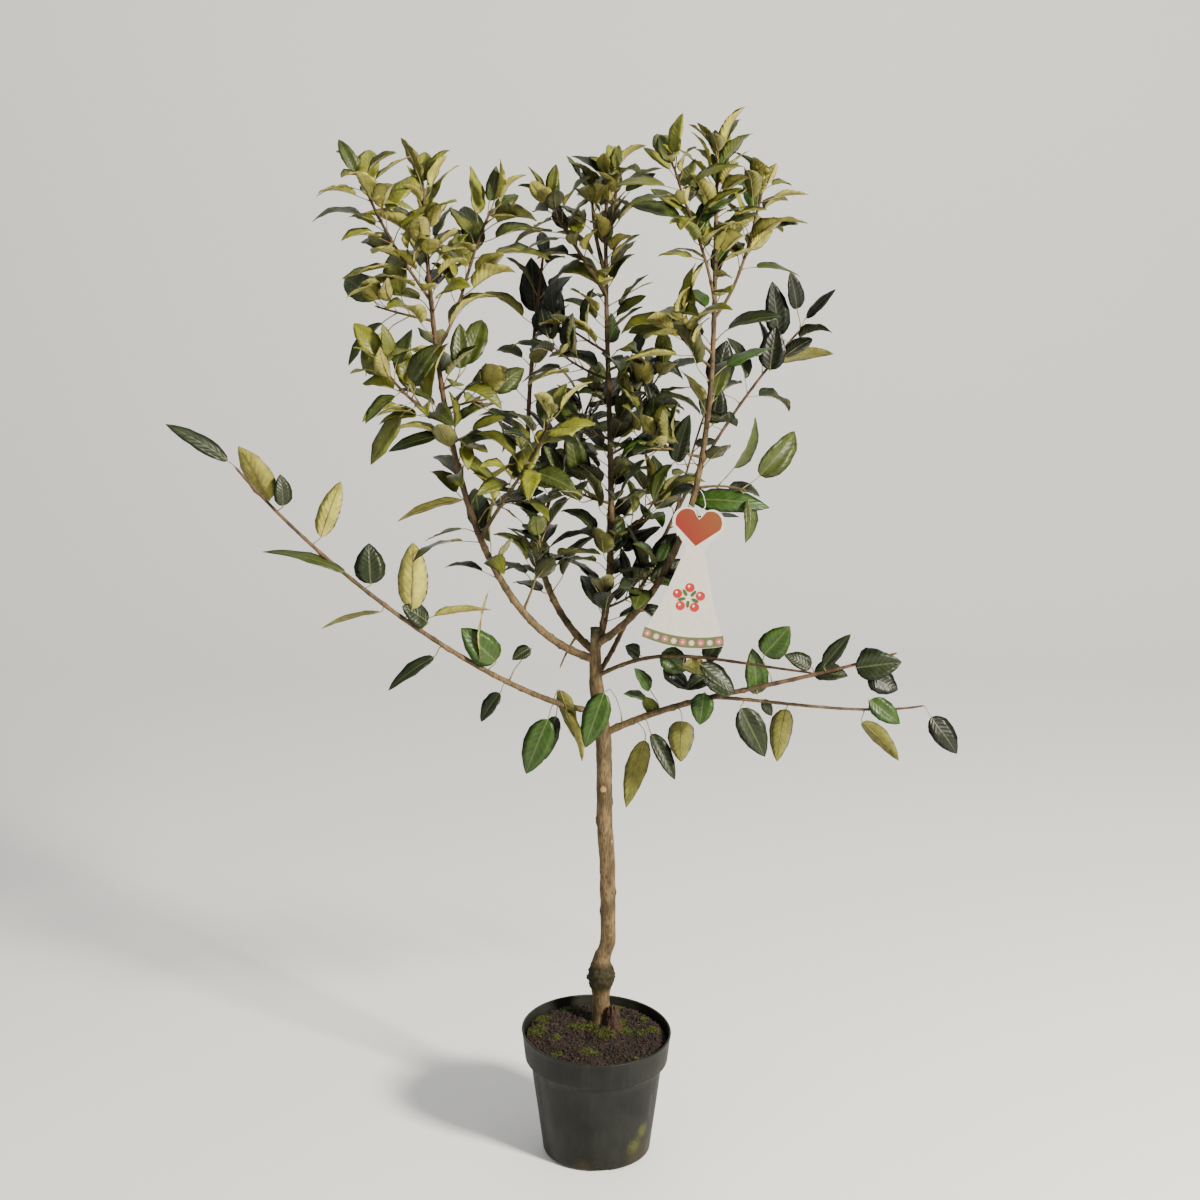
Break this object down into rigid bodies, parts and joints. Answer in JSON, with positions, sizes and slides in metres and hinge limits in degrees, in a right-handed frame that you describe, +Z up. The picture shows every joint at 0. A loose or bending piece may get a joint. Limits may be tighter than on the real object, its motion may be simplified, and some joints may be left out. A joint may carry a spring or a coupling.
{
  "type": "potted apple tree",
  "caption": "Young apple tree in a round nursery pot, with an upright fan of leafy boughs, long side shoots and a hanging plant label.",
  "frame": {"origin": "centre of the pot's flat underside", "axes": "+Z up along the trunk, +X to the right of the front view, +Y away from the front"},
  "size_m": [1.176, 0.4501, 1.6],
  "materials": {
    "pot_plastic": "dark grey-green moulded nursery pot, matt, with algae stains at its foot",
    "compost": "damp dark brown bark compost with moss tufts",
    "bark": "smooth olive-tan young apple bark, knotty and mossy at the graft",
    "dead_wood": "reddish brown crumbling dead wood",
    "leaf": "leaves dark green above and felted pale olive beneath",
    "label_card": "printed plastic label card with a red heart-shaped head",
    "label_string": "thin pale plastic string"
  },
  "bodies": {
    "root": {"back_left_bough": "bark", "back_left_shoot": "bark", "back_right_lateral": "bark", "back_right_shoot": "bark", "front_left_shoot": "bark", "hang_label": "label_card", "label_tie": "label_string", "leader": "bark", "leaves_back_lateral_hang": "leaf", "leaves_back_lateral_tip": "leaf", "leaves_back_left_crown": "leaf", "leaves_back_left_low": "leaf", "leaves_back_right": "leaf", "leaves_back_right_low": "leaf", "leaves_centre_crown": "leaf", "leaves_centre_high_left": "leaf", "leaves_centre_high_right": "leaf", "leaves_centre_left_crown": "leaf", "leaves_centre_low": "leaf", "leaves_centre_mid_left": "leaf", "leaves_centre_mid_right": "leaf", "leaves_front_lateral_low": "leaf", "leaves_front_lateral_tip": "leaf", "leaves_front_left": "leaf", "leaves_inner_left": "leaf", "leaves_left_crown": "leaf", "leaves_left_inner_crown": "leaf", "leaves_left_outer_crown": "leaf", "leaves_left_outer_low": "leaf", "leaves_left_side": "leaf", "leaves_left_spur": "leaf", "leaves_lower_left_inner": "leaf", "leaves_lower_left_mid": "leaf", "leaves_lower_left_outer": "leaf", "leaves_lower_left_tip": "leaf", "leaves_lower_right_rise": "leaf", "leaves_lower_right_tip": "leaf", "leaves_right_bough_inner": "leaf", "leaves_right_bough_low": "leaf", "leaves_right_crown": "leaf", "leaves_right_inner_crown": "leaf", "leaves_right_mid_inner": "leaf", "leaves_right_outer_crown": "leaf", "leaves_trunk_left": "leaf", "leaves_trunk_right": "leaf", "left_bough": "bark", "left_inner_fork": "bark", "left_outer_fork": "bark", "left_side_shoot": "bark", "lower_left_lateral": "bark", "lower_right_lateral": "bark", "old_stub": "dead_wood", "pot": "pot_plastic", "right_bough": "bark", "right_inner_fork": "bark", "right_outer_fork": "bark", "soil": "compost", "trunk": "bark", "upper_right_lateral": "bark"}
  },
  "joints": []
}
